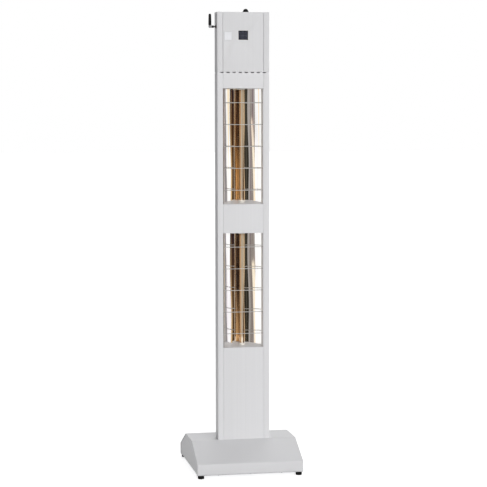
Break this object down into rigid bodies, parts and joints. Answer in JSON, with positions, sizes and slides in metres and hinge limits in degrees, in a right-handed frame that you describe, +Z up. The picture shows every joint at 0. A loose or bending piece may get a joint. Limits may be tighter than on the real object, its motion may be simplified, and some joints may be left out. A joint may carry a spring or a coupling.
{
  "type": "infrared patio heater",
  "caption": "Free-standing infrared heater: wide ballasted foot, slim upright column with lamps behind wire guards, and a control head with a jointed aerial on its side.",
  "frame": {"origin": "on the floor, under the middle of the base", "axes": "+Z up along the column; the lamps face -Y; +X is to the right of someone who looks at the lamps"},
  "size_m": [0.4, 0.43, 1.7413],
  "materials": {
    "base_paint": "light grey powder coat, satin",
    "column_paint": "light grey powder coat on aluminium, satin",
    "painted_screw": "painted over, satin",
    "bright_reflector": "polished, mirror bright",
    "plain_aluminium": "mill finish",
    "steel": "zinc plated",
    "guard_steel": "bright stainless wire",
    "nickel": "nickel plated",
    "foot_rubber": "black, matt",
    "button_rubber": "black moulded boot",
    "black_plastic": "black, fine grain",
    "aerial_grey": "grey, fine grain",
    "lamp_ceramic": "white ceramic, unglazed",
    "gold_quartz": "quartz with a gold coating",
    "filament_wire": "dark tungsten",
    "lead_sleeve": "woven glass sleeve",
    "display_glass": "dark tinted window",
    "sensor_plastic": "pale translucent window",
    "circuit_board": "green solder resist"
  },
  "bodies": {
    "heater": {"base_cover": "base_paint", "base_end_plates": "base_paint", "base_floor_plate": "steel", "ballast_plates": "steel", "deck_stiffener": "steel", "rubber_feet": "foot_rubber", "foot_bolts": "steel", "tip_switch": "black_plastic", "column_screws": "steel", "left_side_profile": "column_paint", "right_side_profile": "column_paint", "lower_front_panel": "column_paint", "middle_front_panel": "column_paint", "upper_front_panel": "column_paint", "rear_panel": "column_paint", "cross_bars": "plain_aluminium", "cover_screws": "steel", "lower_reflector": "bright_reflector", "upper_reflector": "bright_reflector", "reflector_end_plates": "bright_reflector", "lower_lamp_tube": "gold_quartz", "upper_lamp_tube": "gold_quartz", "lamp_filaments": "filament_wire", "lamp_caps": "lamp_ceramic", "lamp_brackets": "steel", "lower_guard_wires": "guard_steel", "upper_guard_wires": "guard_steel", "guard_rails": "guard_steel", "heat_shields": "plain_aluminium", "lamp_leads": "lead_sleeve", "gland_body": "black_plastic", "gland_cap_nut": "black_plastic", "gland_seal": "foot_rubber", "gland_locknut": "black_plastic", "vent_collar": "column_paint", "head_studs": "steel", "head_floor": "column_paint", "head_left_profile": "column_paint", "head_right_profile": "column_paint", "head_front_cover": "column_paint", "head_rear_cover": "column_paint", "head_top_cap": "column_paint", "cap_screws": "painted_screw", "display_window": "display_glass", "display_module": "circuit_board", "sensor_window": "sensor_plastic", "sensor_board": "circuit_board", "control_board": "circuit_board", "board_standoffs": "steel", "power_module": "plain_aluminium", "terminal_block": "lamp_ceramic", "receiver_module": "circuit_board", "button_collar": "black_plastic", "button_spring": "steel", "button_switch": "black_plastic", "aerial_connector": "nickel"},
    "button": {"button_cap": "button_rubber"},
    "aerial_base": {"aerial_swivel": "aerial_grey", "aerial_pin": "nickel"},
    "aerial": {"aerial_rod": "black_plastic"}
  },
  "joints": [
    {"name": "button_press", "type": "slide", "parent": "heater", "child": "button", "axis": [0, 0, -1], "range_m": [0, 0.003], "stiffness_N_per_m": 800, "springref_m": -0.0005, "deforming": ["button_spring"]},
    {"name": "aerial_turn", "type": "hinge", "parent": "heater", "child": "aerial_base", "pos_m": [-0.1225, -0.055, 1.673], "axis": [-1, 0, 0], "continuous": true},
    {"name": "aerial_fold", "type": "hinge", "parent": "aerial_base", "child": "aerial", "pos_m": [-0.1225, -0.055, 1.673], "axis": [0, -1, 0], "range_deg": [0, 90]}
  ]
}
